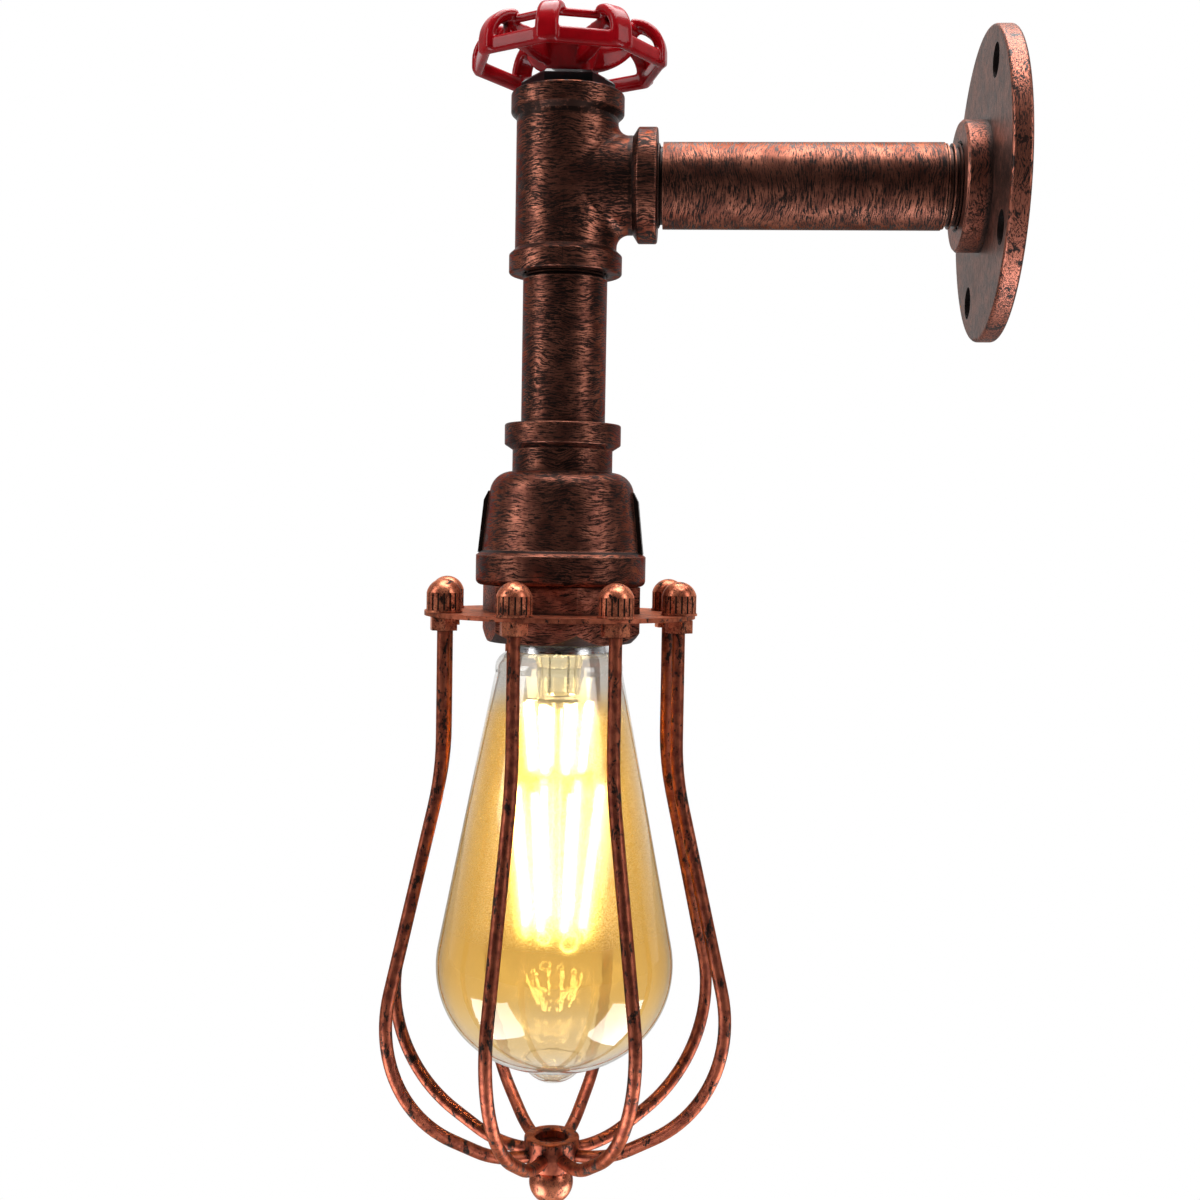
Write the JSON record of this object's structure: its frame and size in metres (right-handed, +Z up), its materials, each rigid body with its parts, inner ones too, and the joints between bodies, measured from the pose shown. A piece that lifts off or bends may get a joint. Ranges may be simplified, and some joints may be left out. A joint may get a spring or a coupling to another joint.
{
  "type": "industrial pipe wall light",
  "caption": "Wall light of antique-copper pipe fittings with a handwheel, a round wall flange, a bulb in a screw lampholder and a wire cage.",
  "frame": {"origin": "centre of the wall flange's back face, on the axis of the arm", "axes": "+Z up, +X into the wall along the arm, so the lamp hangs on the -X side; +Y across"},
  "size_m": [0.1612, 0.0954, 0.3164],
  "materials": {
    "antique_copper_casting": "cast iron plated in antique copper, brushed, with black patina in streaks",
    "antique_copper_pipe": "steel tube plated in antique copper, brushed round the tube, with black patina in streaks",
    "antique_copper_turned": "turned and plated in antique copper, with black patina",
    "cage_copper": "orange copper plating with black worn patches",
    "black_iron": "black semi-gloss paint",
    "black_fibre": "black hard fibre",
    "red_enamel": "glossy red enamel",
    "plain_steel": "plain turned steel",
    "white_porcelain": "glazed white porcelain",
    "contact_brass": "pressed brass",
    "brown_insulation": "brown insulation",
    "blue_insulation": "blue insulation",
    "green_yellow_insulation": "green insulation with a yellow stripe",
    "solder": "solder over brass",
    "cap_metal": "nickel-bright pressed metal",
    "black_vitrite": "black glass insulator",
    "amber_glass": "amber lustre glass",
    "clear_glass": "clear glass",
    "lit_filament": "lit filament sticks, warm yellow-white",
    "lead_wire": "bright drawn wire",
    "circuit_board": "green circuit board"
  },
  "bodies": {
    "fixture": {"wall_flange": "antique_copper_casting", "arm_pipe": "antique_copper_pipe", "tee": "antique_copper_casting", "down_pipe": "antique_copper_pipe", "bell": "antique_copper_casting", "top_plug": "black_iron", "friction_washer": "black_fibre", "holder_bushing": "antique_copper_turned", "cage_ring": "cage_copper", "clamp_nut": "antique_copper_turned", "cage_wire_1": "cage_copper", "cage_wire_2": "cage_copper", "cage_wire_3": "cage_copper", "cage_wire_4": "cage_copper", "cage_wire_5": "cage_copper", "cage_wire_6": "cage_copper", "cage_wire_7": "cage_copper", "cage_wire_8": "cage_copper", "cap_nuts": "cage_copper", "ring_nuts": "cage_copper", "cage_hub": "cage_copper", "ball_finial": "cage_copper", "lampholder_body": "white_porcelain", "screw_shell": "contact_brass", "centre_contact": "contact_brass", "live_terminal": "contact_brass", "neutral_terminal": "contact_brass", "earth_terminal": "contact_brass", "terminal_screws": "plain_steel", "live_core": "brown_insulation", "neutral_core": "blue_insulation", "earth_core": "green_yellow_insulation"},
    "wheel": {"handwheel": "red_enamel", "spindle": "plain_steel", "wheel_screw": "plain_steel", "spindle_clip": "plain_steel"},
    "bulb_contact_body": {"bulb_contact": "solder"},
    "bulb": {"bulb_cap": "cap_metal", "bulb_insulator": "black_vitrite", "bulb_glass": "amber_glass", "bulb_stem": "clear_glass", "upper_filaments": "lit_filament", "lower_filaments": "lit_filament", "support_wires": "lead_wire", "driver_board": "circuit_board"}
  },
  "joints": [
    {"name": "handwheel_spin", "type": "hinge", "parent": "fixture", "child": "wheel", "pos_m": [-0.1135, 0, 0.035], "axis": [0, 0, 1], "continuous": true},
    {"name": "bulb_travel", "type": "slide", "parent": "fixture", "child": "bulb_contact_body", "axis": [0, 0, -1], "range_m": [0, 0.0142]},
    {"name": "bulb_turn", "type": "hinge", "parent": "bulb_contact_body", "child": "bulb", "pos_m": [-0.1135, 0, -0.12], "axis": [0, 0, -1], "range_deg": [0, 1404]}
  ],
  "couplings": [
    {"joint": "bulb_travel", "follows": "bulb_turn", "m_per_rad": 0.0005776}
  ]
}
